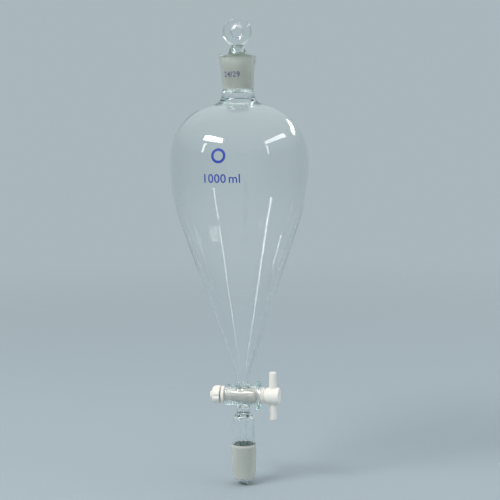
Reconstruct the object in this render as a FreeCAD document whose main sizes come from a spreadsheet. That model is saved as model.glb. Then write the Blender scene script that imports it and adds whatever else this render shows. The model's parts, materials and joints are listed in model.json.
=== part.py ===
"""Dropping funnel: a pear-shaped glass vessel with a ground stopper and a PTFE stopcock.

Millimetres, +Z up. The origin is on the funnel's axis, at the large end of the lower ground cone.
The stopcock lies along X with its handle at +X. Every size comes from the sheet "Sizes".
"""

import FreeCAD, Part
import math
import os
import re
import Sketcher

DIMENSIONS = {
    # Standard 24/29 ground joints: the diameter falls by 1 mm in every 10 mm of length.
    "joint_diameter": 24.0,
    "joint_length": 29.0,
    "joint_slope": 0.05,
    "joint_clearance": 0.02,
    # Lower joint and its wide tube.
    "cone_end_round": 0.8,
    "cone_end_bore": 8.2,
    "jacket_radius": 10.9,
    "jacket_wall": 1.9,
    "jacket_foot": 5.0,
    "jacket_shoulder": 24.5,
    "jacket_top": 31.7,
    # Ring seal, where the stem divides into the wide tube and the drip tube.
    "seal_radius": 7.8,
    "seal_top": 33.2,
    "seal_depth": 3.0,
    "seal_bottom": 28.0,
    "seal_flare": 1.9,
    "drip_radius": 3.5,
    "drip_bore": 2.25,
    "drip_tip": 35.7,
    "drip_short_side": 31.5,
    # Stems above and below the stopcock.
    "stem_radius": 6.3,
    "lower_stem_radius": 6.15,
    "stem_bore": 4.1,
    "stem_split": 64.5,
    # Stopcock barrel, with its ends at either side of the funnel's axis. Its radii are given on that axis.
    "stopcock_height": 49.6,
    "barrel_small_end": 17.0,
    "barrel_large_end": 18.0,
    "barrel_radius": 9.5,
    "barrel_slope": 0.045,
    "barrel_bore": 6.5,
    "barrel_port": 2.5,
    "barrel_edge": 0.4,
    "small_bead_radius": 9.9,
    "small_bead_width": 5.2,
    "small_bead_round": 2.5,
    "large_bead_radius": 13.6,
    "large_bead_width": 6.2,
    "large_bead_round": 3.2,
    # Plug, hub and handle.
    "plug_slope": 0.066,
    "plug_clearance": 0.02,
    "flow_bore": 2.0,
    "plug_shoulder": 20.6,
    "groove_end": 21.6,
    "groove_radius": 6.6,
    "hub_end": 35.1,
    "hub_radius": 8.0,
    "hub_lead": 3.4,
    "hub_chamfer": 1.3,
    "hub_round": 1.2,
    "bar_place": 28.8,
    "bar_radius": 3.5,
    "bar_length": 45.6,
    "bar_round": 0.9,
    # Threaded tail with its washer, O-ring and nut.
    "tail_radius": 3.7,
    "tail_flat": 3.0,
    "tail_end": 31.1,
    "tail_chamfer": 0.7,
    "tail_clearance": 0.05,
    "washer_start": 17.05,
    "washer_end": 20.2,
    "washer_radius": 8.4,
    "washer_edge": 0.5,
    "ring_radius": 4.5,
    "ring_section": 0.7,
    "nut_start": 21.6,
    "nut_end": 29.2,
    "nut_radius": 8.55,
    "nut_round": 3.4,
    "nut_edge": 0.5,
    "nut_lobes": 8,
    "scallop_radius": 1.9,
    "scallop_place": 9.7,
    # Pear-shaped bulb.
    "bulb_wall": 2.2,
    "neck_top": 332.0,
    "neck_radius": 15.3,
    "neck_fillet": 8.0,
    "neck_inner_fillet": 3.0,
    "dome_radius": 52.1,
    "equator_height": 271.7,
    "equator_radius": 64.5,
    "belly_radius": 188.0,
    "cone_half_angle": 18.8,
    "stem_fillet": 15.0,
    # Ground socket at the top.
    "socket_gauge": 365.5,
    "socket_rim": 2.7,
    "socket_wall_top": 15.9,
    "socket_wall_bottom": 14.25,
    "bead_radius": 17.0,
    "bead_bottom": 5.5,
    "bead_round": 2.2,
    "rim_round": 1.6,
    # Stopper, measured from the centre of its disc.
    "disc_height": 388.6,
    "disc_radius": 13.4,
    "disc_rim": 3.9,
    "disc_web": 2.1,
    "disc_floor": 5.0,
    "stopper_shoulder": 4.1,
    "stopper_flare": 4.1,
    "stopper_neck": 6.9,
    "neck_foot": 9.2,
    "neck_crown": 10.2,
    "neck_crown_radius": 7.5,
    "stopper_length": 28.0,
    "stopper_round": 1.5,
}

document = FreeCAD.newDocument("DroppingFunnel")


def make_sheet():
    """The spreadsheet of driving dimensions, one alias in each row."""
    table = document.addObject("Spreadsheet::Sheet", "Sizes")
    for row, (alias, value) in enumerate(DIMENSIONS.items(), start=1):
        table.set(f"A{row}", alias)
        table.set(f"B{row}", str(value))
        table.setAlias(f"B{row}", alias)
    document.recompute()
    return table


sheet = make_sheet()


def bound(text):
    """An expression for the property editor: each alias gets the sheet's name in front."""
    return re.sub(r"[a-z_]+", lambda word: "Sizes." * (word[0] in DIMENSIONS) + word[0], text)


def size(text):
    """The number that an expression of the sheet's aliases gives."""
    value = sheet.evalExpression(bound(text))
    return float(getattr(value, "Value", value))


# Sketches


def make_body(label, **place):
    """A PartDesign body. place gives expressions for its placement, by axis."""
    body = document.addObject("PartDesign::Body", label)
    body.Label = label
    for axis, text in place.items():
        body.setExpression(f"Placement.Base.{axis}", bound(text))
    return body


def make_sketch(body, name, plane):
    """A sketch on one of the body's own origin planes."""
    sketch = body.newObject("Sketcher::SketchObject", name)
    support = next(part for part in body.Origin.OriginFeatures if part.Role == plane)
    sketch.AttachmentSupport = [(support, "")]
    sketch.MapMode = "FlatFace"
    return sketch


def dimension(sketch, kind, where, text):
    """A dimensional constraint whose value is bound to an expression."""
    index = sketch.addConstraint(Sketcher.Constraint(kind, *where, size(text)))
    sketch.setExpression(f"Constraints[{index}]", bound(text))


def locate(sketch, geometry, end, across, up):
    """Fix one point of a sketch by its two distances from the origin."""
    for kind, text, axis in (("DistanceX", across, -2), ("DistanceY", up, -1)):
        if text == "0":
            sketch.addConstraint(Sketcher.Constraint("PointOnObject", geometry, end, axis))
        else:
            dimension(sketch, kind, (-1, 1, geometry, end), text)


def add_circle(sketch, radius, across="0", up="0"):
    """A full circle, located by its centre."""
    centre = FreeCAD.Vector(size(across), size(up), 0)
    circle = sketch.addGeometry(Part.Circle(centre, FreeCAD.Vector(0, 0, 1), size(radius)))
    dimension(sketch, "Radius", (circle,), radius)
    locate(sketch, circle, 3, across, up)


def arc_about(centre, radius, first, last, turn):
    """The arc from first to last about a centre, and which of its ends, 1 or 2, lies at first.

    turn is 1 where the path bends left and -1 where it bends right.
    """
    start, stop = (first, last) if turn > 0 else (last, first)
    angles = [math.atan2(point.y - centre.y, point.x - centre.x) for point in (start, stop)]
    if angles[1] < angles[0]:
        angles[1] += 2 * math.pi
    circle = Part.Circle(centre, FreeCAD.Vector(0, 0, 1), radius)
    return Part.ArcOfCircle(circle, *angles), 1 if turn > 0 else 2


def arc_between(first, last, radius, turn):
    """The short arc of a given radius from first to last."""
    chord = last - first
    side = FreeCAD.Vector(-chord.y, chord.x, 0).normalize() * turn
    centre = (first + last) / 2 + side * math.sqrt(radius**2 - (chord.Length / 2) ** 2)
    return arc_about(centre, radius, first, last, turn)


TURNS = {"left": 1, "right": -1}


def draw_outline(sketch, path):
    """Draw a closed outline, fully constrained.

    path holds corners, as (across, up) expressions. An entry ("left" or "right", radius) between
    two corners makes the side between them an arc that bends that way. Other sides are straight.
    """
    corners = []
    bends = {}
    for step in path:
        if step[0] in TURNS:
            bends[len(corners) - 1] = step
        else:
            corners.append(step)
    points = [FreeCAD.Vector(size(across), size(up), 0) for across, up in corners]
    sides = []
    for index, first in enumerate(points):
        last = points[(index + 1) % len(points)]
        if index in bends:
            way, radius = bends[index]
            arc, near = arc_between(first, last, size(radius), TURNS[way])
            geometry = sketch.addGeometry(arc)
            dimension(sketch, "Radius", (geometry,), radius)
            sides.append((geometry, near, 3 - near))
        else:
            sides.append((sketch.addGeometry(Part.LineSegment(first, last)), 1, 2))
    for index, (across, up) in enumerate(corners):
        before, here = sides[index - 1], sides[index]
        sketch.addConstraint(Sketcher.Constraint("Coincident", before[0], before[2], here[0], here[1]))
        locate(sketch, here[0], here[1], across, up)


def s_bend(first, last, way):
    """The steps of an S from corner first up to corner last, upright at both ends.

    way is the turn of its first half. The corner last isn't included.
    """
    step = f"abs({first[0]} - ({last[0]}))"
    radius = f"({step} ^ 2 + ({first[1]} - ({last[1]})) ^ 2) / (4 * {step})"
    middle = (f"({first[0]} + {last[0]}) / 2", f"({first[1]} + {last[1]}) / 2")
    other = "right" if way == "left" else "left"
    return [first, (way, radius), middle, (other, radius)]


# Features


def revolve(body, sketch, axis):
    """Turn a sketch all the way round its own V_Axis (upright) or H_Axis (across)."""
    turned = body.newObject("PartDesign::Revolution", sketch.Name + "_turned")
    turned.Profile = sketch
    turned.ReferenceAxis = (sketch, [axis])
    turned.Angle = 360
    return turned


def turned_body(label, path, axis="V_Axis", **place):
    """A body turned about Z from (radius, height) corners, or about X from (x, radius) corners."""
    body = make_body(label, **place)
    sketch = make_sketch(body, label + "_outline", "XZ_Plane")
    draw_outline(sketch, path)
    revolve(body, sketch, axis)
    return body


def cut_through(body, sketch):
    """Cut a sketch right through the body, both ways from its plane."""
    document.recompute()
    before = body.Shape.Volume
    pocket = body.newObject("PartDesign::Pocket", sketch.Name + "_cut")
    pocket.Profile = sketch
    pocket.Type = "ThroughAll"
    pocket.SideType = "Symmetric"
    document.recompute()
    if body.Shape.Volume >= before:
        raise RuntimeError(f"{sketch.Name} cuts nothing")
    return pocket


def cut_hole(body, name, plane, radius, across="0", up="0"):
    """Cut a round hole right through the body."""
    sketch = make_sketch(body, name, plane)
    add_circle(sketch, radius, across, up)
    return cut_through(body, sketch)


def dress_round_edges(body, kind, radius, amount):
    """A Fillet or Chamfer on all the body's round edges of one radius."""
    document.recompute()
    base = body.Tip
    edges = [
        f"Edge{number}"
        for number, edge in enumerate(base.Shape.Edges, start=1)
        if isinstance(edge.Curve, Part.Circle) and abs(edge.Curve.Radius - size(radius)) < 1e-6
    ]
    dressed = body.newObject("PartDesign::" + kind, f"{body.Name}_{kind.lower()}")
    dressed.Base = (base, edges)
    dressed.setExpression("Radius" if kind == "Fillet" else "Size", bound(amount))


# Lower joint


def make_ground_cone():
    """The 24/29 cone, with its fire-polished lower end."""
    outer_end = "joint_diameter / 2 - joint_slope * joint_length"
    path = [
        ("joint_diameter / 2", "0"),
        (outer_end, "-joint_length"),
        ("right", "cone_end_round"),
        (f"{outer_end} - cone_end_round", "-joint_length - cone_end_round"),
        ("cone_end_bore + cone_end_round", "-joint_length - cone_end_round"),
        ("right", "cone_end_round"),
        ("cone_end_bore", "-joint_length"),
        ("jacket_radius - jacket_wall", "0"),
    ]
    return turned_body("ground_cone", path)


def make_jacket_tube():
    """The wide tube above the cone, closed in by a rounded shoulder at the ring seal."""
    bore = "jacket_radius - jacket_wall"
    shoulder = (
        "((jacket_radius - seal_radius) ^ 2 + (jacket_top - jacket_shoulder) ^ 2)"
        " / (2 * (jacket_radius - seal_radius))"
    )
    path = [
        (bore, "0"),
        *s_bend(("joint_diameter / 2", "0"), ("jacket_radius", "jacket_foot"), "left"),
        ("jacket_radius", "jacket_foot"),
        ("jacket_radius", "jacket_shoulder"),
        ("left", shoulder),
        ("seal_radius", "jacket_top"),
        ("seal_radius", "jacket_top - seal_depth"),
        ("right", f"{shoulder} - jacket_wall"),
        (bore, "jacket_shoulder"),
    ]
    return turned_body("jacket_tube", path)


def make_ring_seal():
    """The thick ring where the stem's wall divides into the wide tube and the drip tube."""
    path = [
        ("stem_bore", "seal_top"),
        ("lower_stem_radius", "seal_top"),
        ("left", "seal_flare"),
        ("seal_radius", "jacket_top"),
        ("seal_radius", "jacket_top - seal_depth"),
        ("drip_radius", "seal_bottom"),
        ("drip_bore", "seal_bottom"),
        ("drip_bore", "jacket_top - jacket_wall"),
    ]
    return turned_body("ring_seal", path)


def make_drip_tube():
    """The inner tube, cut off at a slant with its long side at +X."""
    path = [
        ("drip_bore", "seal_bottom"),
        ("drip_radius", "seal_bottom"),
        ("drip_radius", "-drip_tip"),
        ("drip_bore", "-drip_tip"),
    ]
    tube = turned_body("drip_tube", path)
    slant = make_sketch(tube, "tip_slant", "XZ_Plane")
    rise = "2 * (drip_tip - drip_short_side)"
    corners = [
        ("drip_radius", "-drip_tip"),
        ("-3 * drip_radius", f"-drip_tip + {rise}"),
        ("-3 * drip_radius", "-drip_tip - drip_radius"),
        ("drip_radius", "-drip_tip - drip_radius"),
    ]
    draw_outline(slant, corners)
    cut_through(tube, slant)
    return tube


# Stopcock in glass


def make_barrel_envelope():
    """The barrel's plain outside as a solid cone, which shapes the ends of the stems."""
    cone = document.addObject("Part::Cone", "barrel_envelope")
    cone.Placement.Rotation = FreeCAD.Rotation(FreeCAD.Vector(0, 1, 0), 90)
    cone.setExpression("Radius1", bound("barrel_radius - barrel_slope * barrel_small_end"))
    cone.setExpression("Radius2", bound("barrel_radius + barrel_slope * barrel_large_end"))
    cone.setExpression("Height", bound("barrel_small_end + barrel_large_end"))
    cone.setExpression("Placement.Base.x", bound("-barrel_small_end"))
    cone.setExpression("Placement.Base.z", bound("stopcock_height"))
    return cone


def make_stem(label, radius, low, high, envelope):
    """A short tube between two heights, saddled onto the barrel."""
    path = [("stem_bore", low), (radius, low), (radius, high), ("stem_bore", high)]
    tube = turned_body(label + "_tube", path)
    stem = document.addObject("Part::Cut", label)
    stem.Label = label
    stem.Base = tube
    stem.Tool = envelope
    return stem


def barrel_bead(place, radius, round_radius, width):
    """The outline steps of a rim bead, for a centre along X, up one side and down the other."""
    foot = "barrel_radius + barrel_slope * ({})"
    left, right = f"{place} - {width} / 2", f"{place} + {width} / 2"
    return [
        (left, foot.format(left)),
        ("left", round_radius),
        (f"{place} - {width} / 6", f"{radius} - {width} / 12"),
        ("right", f"{width} / 4"),
        (f"{place} + {width} / 6", f"{radius} - {width} / 12"),
        ("left", round_radius),
        (right, foot.format(right)),
    ]


def make_stopcock_barrel():
    """The tapered glass barrel with a bead near each end and a port above and below."""
    small_end, large_end = "-barrel_small_end", "barrel_large_end"
    small_place = f"{small_end} + barrel_edge + small_bead_width / 2"
    large_place = f"{large_end} - barrel_edge - large_bead_width / 2"
    path = [
        (small_end, "barrel_bore - plug_slope * barrel_small_end"),
        (small_end, "barrel_radius - barrel_slope * barrel_small_end"),
        *barrel_bead(small_place, "small_bead_radius", "small_bead_round", "small_bead_width"),
        *barrel_bead(large_place, "large_bead_radius", "large_bead_round", "large_bead_width"),
        (large_end, "barrel_radius + barrel_slope * barrel_large_end"),
        (large_end, "barrel_bore + plug_slope * barrel_large_end"),
    ]
    barrel = turned_body("stopcock_barrel", path, "H_Axis", z="stopcock_height")
    cut_hole(barrel, "barrel_ports", "XY_Plane", "barrel_port")
    return barrel


# Stopcock in PTFE


def make_stopcock_plug():
    """The tapered plug with its flow bore, hub and keyed tail, in one piece."""
    taper = "barrel_bore - plug_clearance + plug_slope * ({})"
    path = [
        ("-tail_end", "0"),
        ("-tail_end", "tail_radius - tail_chamfer"),
        ("-tail_end + tail_chamfer", "tail_radius"),
        ("-barrel_small_end", "tail_radius"),
        ("-barrel_small_end", taper.format("-barrel_small_end")),
        ("plug_shoulder", taper.format("plug_shoulder")),
        ("plug_shoulder", "groove_radius"),
        ("groove_end", "groove_radius"),
        ("groove_end", "hub_radius - hub_chamfer"),
        ("groove_end + hub_lead", "hub_radius"),
        ("hub_end - hub_round", "hub_radius"),
        ("right", "hub_round"),
        ("hub_end", "hub_radius - hub_round"),
        ("hub_end", "0"),
    ]
    plug = turned_body("stopcock_plug", path, "H_Axis", z="stopcock_height")
    cut_hole(plug, "flow_hole", "XY_Plane", "flow_bore")
    cut_hole(plug, "bar_hole", "XY_Plane", "bar_radius", across="bar_place")
    flat = make_sketch(plug, "tail_flat_outline", "XZ_Plane")
    corners = [
        ("-tail_end - tail_radius", "tail_flat"),
        ("-washer_start", "tail_flat"),
        ("-washer_start", "2 * tail_radius"),
        ("-tail_end - tail_radius", "2 * tail_radius"),
    ]
    draw_outline(flat, corners)
    cut_through(plug, flat)
    return plug


def make_handle_bar():
    """The round bar pushed through the hub."""
    bar = make_body("handle_bar", x="bar_place", z="stopcock_height")
    section = make_sketch(bar, "bar_section", "XY_Plane")
    add_circle(section, "bar_radius")
    pad = bar.newObject("PartDesign::Pad", "bar_pad")
    pad.Profile = section
    pad.SideType = "Symmetric"
    pad.setExpression("Length", bound("bar_length"))
    dress_round_edges(bar, "Fillet", "bar_radius", "bar_round")
    return bar


def make_tail_washer():
    """The flat washer, whose D-shaped hole turns it with the plug."""
    washer = make_body("tail_washer", x="-washer_start", z="stopcock_height")
    section = make_sketch(washer, "washer_section", "YZ_Plane")
    add_circle(section, "washer_radius")
    hole = "tail_radius + tail_clearance"
    flat = "tail_flat + tail_clearance"
    half_flat = f"sqrt(({hole}) ^ 2 - ({flat}) ^ 2)"
    side = f"({hole}) * sqrt(0.5)"
    corners = [
        (f"-{half_flat}", flat),
        ("left", hole),
        (f"-{side}", f"-{side}"),
        ("left", hole),
        (side, f"-{side}"),
        ("left", hole),
        (half_flat, flat),
    ]
    draw_outline(section, corners)
    pad = washer.newObject("PartDesign::Pad", "washer_pad")
    pad.Profile = section
    pad.Reversed = True
    pad.setExpression("Length", bound("washer_end - washer_start"))
    dress_round_edges(washer, "Chamfer", "washer_radius", "washer_edge")
    return washer


def make_o_ring():
    """The rubber O-ring between the washer and the nut."""
    ring = document.addObject("Part::Torus", "o_ring")
    ring.Label = "o_ring"
    ring.Placement.Rotation = FreeCAD.Rotation(FreeCAD.Vector(0, 1, 0), 90)
    ring.setExpression("Radius1", bound("ring_radius"))
    ring.setExpression("Radius2", bound("ring_section"))
    ring.setExpression("Placement.Base.x", bound("-(washer_end + nut_start) / 2"))
    ring.setExpression("Placement.Base.z", bound("stopcock_height"))
    return ring


def make_tension_nut():
    """The lobed nut that draws the plug into the barrel."""
    hole = "tail_radius + tail_clearance"
    path = [
        ("-nut_end", hole),
        ("-nut_end", "nut_radius - nut_round"),
        ("right", "nut_round"),
        ("-nut_end + nut_round", "nut_radius"),
        ("-nut_start - nut_edge", "nut_radius"),
        ("-nut_start", "nut_radius - nut_edge"),
        ("-nut_start", hole),
    ]
    nut = turned_body("tension_nut", path, "H_Axis", z="stopcock_height")
    scallop = cut_hole(nut, "nut_scallop", "YZ_Plane", "scallop_radius", up="scallop_place")
    lobes = nut.newObject("PartDesign::PolarPattern", "nut_scallops")
    lobes.Originals = [scallop]
    lobes.Axis = (scallop.Profile[0], ["N_Axis"])
    lobes.Angle = 360
    lobes.setExpression("Occurrences", bound("nut_lobes"))
    nut.Tip = lobes
    return nut


# Vessel


def pear_points(inset, fillet):
    """The joints and arc centres of one side of the bulb's outline, from the neck to the stem.

    inset is the distance in from the outside, and fillet is the radius under the neck.
    """
    angle = math.radians(size("cone_half_angle"))
    outward = FreeCAD.Vector(math.cos(angle), -math.sin(angle), 0)
    neck = size("neck_radius") - inset
    stem = size("stem_radius") - inset
    dome = size("dome_radius") - inset
    belly = size("belly_radius") - inset
    foot = size("stem_fillet") + inset
    equator = FreeCAD.Vector(size("equator_radius") - inset, size("equator_height"), 0)
    dome_centre = equator - FreeCAD.Vector(dome, 0, 0)
    belly_centre = equator - FreeCAD.Vector(belly, 0, 0)
    across = neck + fillet - dome_centre.x
    neck_centre = dome_centre + FreeCAD.Vector(across, math.sqrt((dome + fillet) ** 2 - across**2), 0)
    cone_top = belly_centre + outward * belly
    drop = ((stem + foot - cone_top.x) * math.cos(angle) - foot) / math.sin(angle)
    foot_centre = FreeCAD.Vector(stem + foot, cone_top.y + drop, 0)
    joints = [
        FreeCAD.Vector(neck, size("neck_top"), 0),
        FreeCAD.Vector(neck, neck_centre.y, 0),
        dome_centre + (neck_centre - dome_centre) * (dome / (dome + fillet)),
        equator,
        cone_top,
        foot_centre - outward * foot,
        FreeCAD.Vector(stem, foot_centre.y, 0),
        FreeCAD.Vector(stem, size("stem_split"), 0),
    ]
    return joints, neck_centre, dome_centre, belly_centre, foot_centre


def draw_pear_side(sketch, inset, fillet):
    """One side of the bulb's outline as lines and arcs, each tangent to the next.

    Returns the ends at the neck and at the stem, as (geometry, end) pairs.
    """
    joints, neck_centre, dome_centre, belly_centre, foot_centre = pear_points(size(inset), size(fillet))
    arcs = {
        1: (neck_centre, fillet, 1),
        2: (dome_centre, f"dome_radius - {inset}", -1),
        3: (belly_centre, f"belly_radius - {inset}", -1),
        5: (foot_centre, f"stem_fillet + {inset}", 1),
    }
    sides = []
    for index, (first, last) in enumerate(zip(joints, joints[1:])):
        if index in arcs:
            centre, radius, turn = arcs[index]
            arc, near = arc_about(centre, size(radius), first, last, turn)
            geometry = sketch.addGeometry(arc)
            dimension(sketch, "Radius", (geometry,), radius)
            sides.append((geometry, near, 3 - near))
        else:
            sides.append((sketch.addGeometry(Part.LineSegment(first, last)), 1, 2))
    for before, here in zip(sides, sides[1:]):
        sketch.addConstraint(Sketcher.Constraint("Tangent", before[0], before[2], here[0], here[1]))
    neck, _, dome, belly, cone, _, stem = [side[0] for side in sides]
    locate(sketch, neck, 1, f"neck_radius - {inset}", "neck_top")
    sketch.addConstraint(Sketcher.Constraint("Vertical", neck))
    locate(sketch, dome, 3, "equator_radius - dome_radius", "equator_height")
    dimension(sketch, "DistanceY", (-1, 1, belly, 3), "equator_height")
    slope = math.radians(size("cone_half_angle"))
    angle = sketch.addConstraint(Sketcher.Constraint("Angle", cone, 2, -2, 1, slope))
    sketch.setExpression(f"Constraints[{angle}]", bound("cone_half_angle * 1deg"))
    locate(sketch, stem, 2, f"stem_radius - {inset}", "stem_split")
    sketch.addConstraint(Sketcher.Constraint("Vertical", stem))
    return (neck, 1), (stem, 2)


def make_pear_bulb():
    """The blown bulb from its neck to its stem, with a thickened ring under the neck."""
    bulb = make_body("pear_bulb")
    sketch = make_sketch(bulb, "pear_outline", "XZ_Plane")
    outside = draw_pear_side(sketch, "0", "neck_fillet")
    inside = draw_pear_side(sketch, "bulb_wall", "neck_inner_fillet")
    for outer, inner in zip(outside, inside):
        ends = []
        for geometry, end in (outer, inner):
            ends.append(sketch.getPoint(geometry, end))
        lid = sketch.addGeometry(Part.LineSegment(*ends))
        sketch.addConstraint(Sketcher.Constraint("Coincident", lid, 1, *outer))
        sketch.addConstraint(Sketcher.Constraint("Coincident", lid, 2, *inner))
    revolve(bulb, sketch, "V_Axis")
    return bulb


def make_socket_joint():
    """The 24/29 socket with its beaded rim, measured from its gauge plane."""
    foot = "neck_top - socket_gauge"
    neck_bore = "neck_radius - bulb_wall"
    bore = "joint_diameter / 2"
    bore_end = "joint_diameter / 2 - joint_slope * joint_length"
    path = [
        (neck_bore, foot),
        *s_bend(("neck_radius", foot), ("socket_wall_bottom", "-joint_length"), "left"),
        ("socket_wall_bottom", "-joint_length"),
        ("socket_wall_top", "-bead_bottom"),
        ("bead_radius", "-bead_bottom + bead_radius - socket_wall_top"),
        ("bead_radius", "socket_rim - bead_round"),
        ("left", "bead_round"),
        ("bead_radius - bead_round", "socket_rim"),
        (f"{bore} + rim_round", "socket_rim"),
        ("left", "rim_round"),
        (bore, "socket_rim - rim_round"),
        (bore, "0"),
        (bore_end, "-joint_length"),
        ("left", "neck_inner_fillet"),
    ]
    return turned_body("socket_joint", path, z="socket_gauge")


def make_glass_stopper():
    """The stopper: ground plug, neck and a dished disc with a rounded rim to hold it by."""
    gauge = "socket_gauge - disc_height"
    top = "joint_diameter / 2 - joint_clearance"
    bottom = f"{top} - joint_slope * stopper_length"
    end = f"{gauge} - stopper_length"
    path = [
        ("0", end),
        (f"{bottom} - stopper_round", end),
        ("left", "stopper_round"),
        (bottom, f"{end} + stopper_round"),
        (top, gauge),
        ("left", "1.5 * stopper_shoulder"),
        ("neck_foot", f"{gauge} + stopper_shoulder"),
        ("right", "1.5 * stopper_flare"),
        ("stopper_neck", f"{gauge} + stopper_shoulder + stopper_flare"),
        ("left", "neck_crown_radius"),
        ("0", "-neck_crown"),
    ]
    stopper = turned_body("glass_stopper", path, z="disc_height")
    disc = make_sketch(stopper, "disc_outline", "YZ_Plane")
    crest = "disc_radius - disc_rim"
    left_dish = s_bend(("-disc_web", "disc_floor"), ("-disc_rim", crest), "left")
    right_dish = s_bend(("disc_rim", crest), ("disc_web", "disc_floor"), "left")
    corners = [
        ("-disc_web", "0"),
        *left_dish,
        ("-disc_rim", crest),
        ("right", "disc_rim"),
        ("0", "disc_radius"),
        ("right", "disc_rim"),
        *right_dish,
        ("disc_web", "disc_floor"),
        ("disc_web", "0"),
    ]
    draw_outline(disc, corners)
    revolve(stopper, disc, "H_Axis")
    return stopper


def make_parts():
    """All the sub-parts, each with its own label."""
    envelope = make_barrel_envelope()
    parts = [
        make_ground_cone(),
        make_jacket_tube(),
        make_ring_seal(),
        make_drip_tube(),
        make_stem("lower_stem", "lower_stem_radius", "seal_top", "stopcock_height", envelope),
        make_stopcock_barrel(),
        make_stem("upper_stem", "stem_radius", "stopcock_height", "stem_split", envelope),
        make_pear_bulb(),
        make_socket_joint(),
        make_glass_stopper(),
        make_stopcock_plug(),
        make_handle_bar(),
        make_tail_washer(),
        make_o_ring(),
        make_tension_nut(),
    ]
    document.recompute()
    return parts


def check(parts):
    """Stop if any object failed, or if a sub-part's shape is empty or faulty."""
    for thing in document.Objects:
        if {"Invalid", "Error"} & set(thing.State):
            raise RuntimeError(f"{thing.Name} failed: {thing.State}")
    for part in parts:
        if part.Shape.isNull() or not part.Shape.isValid() or len(part.Shape.Solids) != 1:
            raise RuntimeError(f"{part.Label} isn't one valid solid")


def export(parts):
    """Write each sub-part to its own STEP file."""
    os.makedirs("parts", exist_ok=True)
    for part in parts:
        part.Shape.exportStep(f"parts/{part.Label}.step")
        print(f"{part.Label}: {part.Shape.Volume / 1000:.2f} cm3")


sub_parts = make_parts()
check(sub_parts)
export(sub_parts)
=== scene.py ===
import json
import math

import bmesh
import bpy
import numpy as np
from mathutils import Matrix, Vector


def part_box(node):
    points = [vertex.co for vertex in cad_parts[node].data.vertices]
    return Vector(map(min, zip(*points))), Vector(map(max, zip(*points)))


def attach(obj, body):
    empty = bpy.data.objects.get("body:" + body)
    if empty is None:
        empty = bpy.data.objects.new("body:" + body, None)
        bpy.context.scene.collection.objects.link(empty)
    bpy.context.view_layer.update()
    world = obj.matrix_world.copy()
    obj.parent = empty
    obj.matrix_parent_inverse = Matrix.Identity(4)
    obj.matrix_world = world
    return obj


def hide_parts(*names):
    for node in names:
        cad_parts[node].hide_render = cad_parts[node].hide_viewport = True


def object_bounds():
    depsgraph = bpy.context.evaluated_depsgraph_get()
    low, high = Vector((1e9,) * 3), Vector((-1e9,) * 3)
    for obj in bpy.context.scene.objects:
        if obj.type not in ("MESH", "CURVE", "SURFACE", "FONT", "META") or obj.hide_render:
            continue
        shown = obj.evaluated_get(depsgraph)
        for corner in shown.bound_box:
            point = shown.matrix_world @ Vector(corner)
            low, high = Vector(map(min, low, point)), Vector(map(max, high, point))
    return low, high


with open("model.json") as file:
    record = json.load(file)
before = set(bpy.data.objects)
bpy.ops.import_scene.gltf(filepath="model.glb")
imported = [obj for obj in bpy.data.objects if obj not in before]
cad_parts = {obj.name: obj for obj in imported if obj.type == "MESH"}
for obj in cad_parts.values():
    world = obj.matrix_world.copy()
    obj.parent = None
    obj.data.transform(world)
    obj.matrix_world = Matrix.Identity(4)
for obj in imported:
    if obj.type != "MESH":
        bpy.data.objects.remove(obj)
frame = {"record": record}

CAD_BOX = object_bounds()
MM = 0.001

# Places of the CAD nodes, in millimetres.


def box_mm(node):
    """The lowest and highest corners of a CAD node, in millimetres."""
    low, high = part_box(node)
    return np.array(low) / MM, np.array(high) / MM


CONE_LOW, _ = box_mm("ground_cone")
_, JACKET_HIGH = box_mm("jacket_tube")
DRIP_LOW, _ = box_mm("drip_tube")
BARREL_LOW, BARREL_HIGH = box_mm("stopcock_barrel")
_, BULB_HIGH = box_mm("pear_bulb")
_, SOCKET_HIGH = box_mm("socket_joint")
STOPPER_LOW, STOPPER_HIGH = box_mm("glass_stopper")
PLUG_LOW, PLUG_HIGH = box_mm("stopcock_plug")
BAR_LOW, BAR_HIGH = box_mm("handle_bar")
WASHER_LOW, WASHER_HIGH = box_mm("tail_washer")
RING_LOW, RING_HIGH = box_mm("o_ring")
NUT_LOW, NUT_HIGH = box_mm("tension_nut")

AXIS = (BARREL_LOW[2] + BARREL_HIGH[2]) / 2  # height of the stopcock's axis
GAUGE = SOCKET_HIGH[2] - 2.7  # height of the socket's widest ground diameter
NECK = BULB_HIGH[2]
SEAL = JACKET_HIGH[2]  # top of the wide tube's shoulder

# Sizes that no box gives, in millimetres. A BORE is a radius, and a SLOPE is radius gained per millimetre.

JOINT_RADIUS = 12.0
JOINT_LENGTH = 29.0
JOINT_SLOPE = 0.05
JOINT_END = JOINT_RADIUS - JOINT_SLOPE * JOINT_LENGTH
CONE_BORE = 8.2
BULB_WALL = 2.2
BULB_DOME = 52.1  # radius of the outline above the widest level
BULB_BELLY = 188.0  # and below it
BULB_EQUATOR = 271.7  # height of the widest level
BULB_SLANT = 18.8  # degrees of the cone's side from upright
BULB_FOOT = 15.0  # radius of the outline where the cone runs into the stem
NECK_RADIUS = 15.3
NECK_FILLET = 8.0
NECK_FILLET_INSIDE = 3.0
RIM_RADIUS = 17.0  # of the bead round the socket's mouth
STEM_RADIUS = 6.3
LOWER_STEM_RADIUS = 6.15
STEM_BORE = 4.1
JACKET_RADIUS = 10.9
JACKET_BORE = 9.0
SHOULDER = 24.5  # height where the wide tube's shoulder starts
DRIP_RADIUS = 3.5
DRIP_BORE = 2.25
DRIP_SHORT_SIDE = -31.5  # height of the drip tube's end on its short side
BARREL_RADIUS = 9.5
BARREL_SLOPE = 0.045
BARREL_BORE = 6.5
BORE_SLOPE = 0.066
BARREL_SMALL_END = -17.0
BARREL_LARGE_END = 18.0
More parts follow.
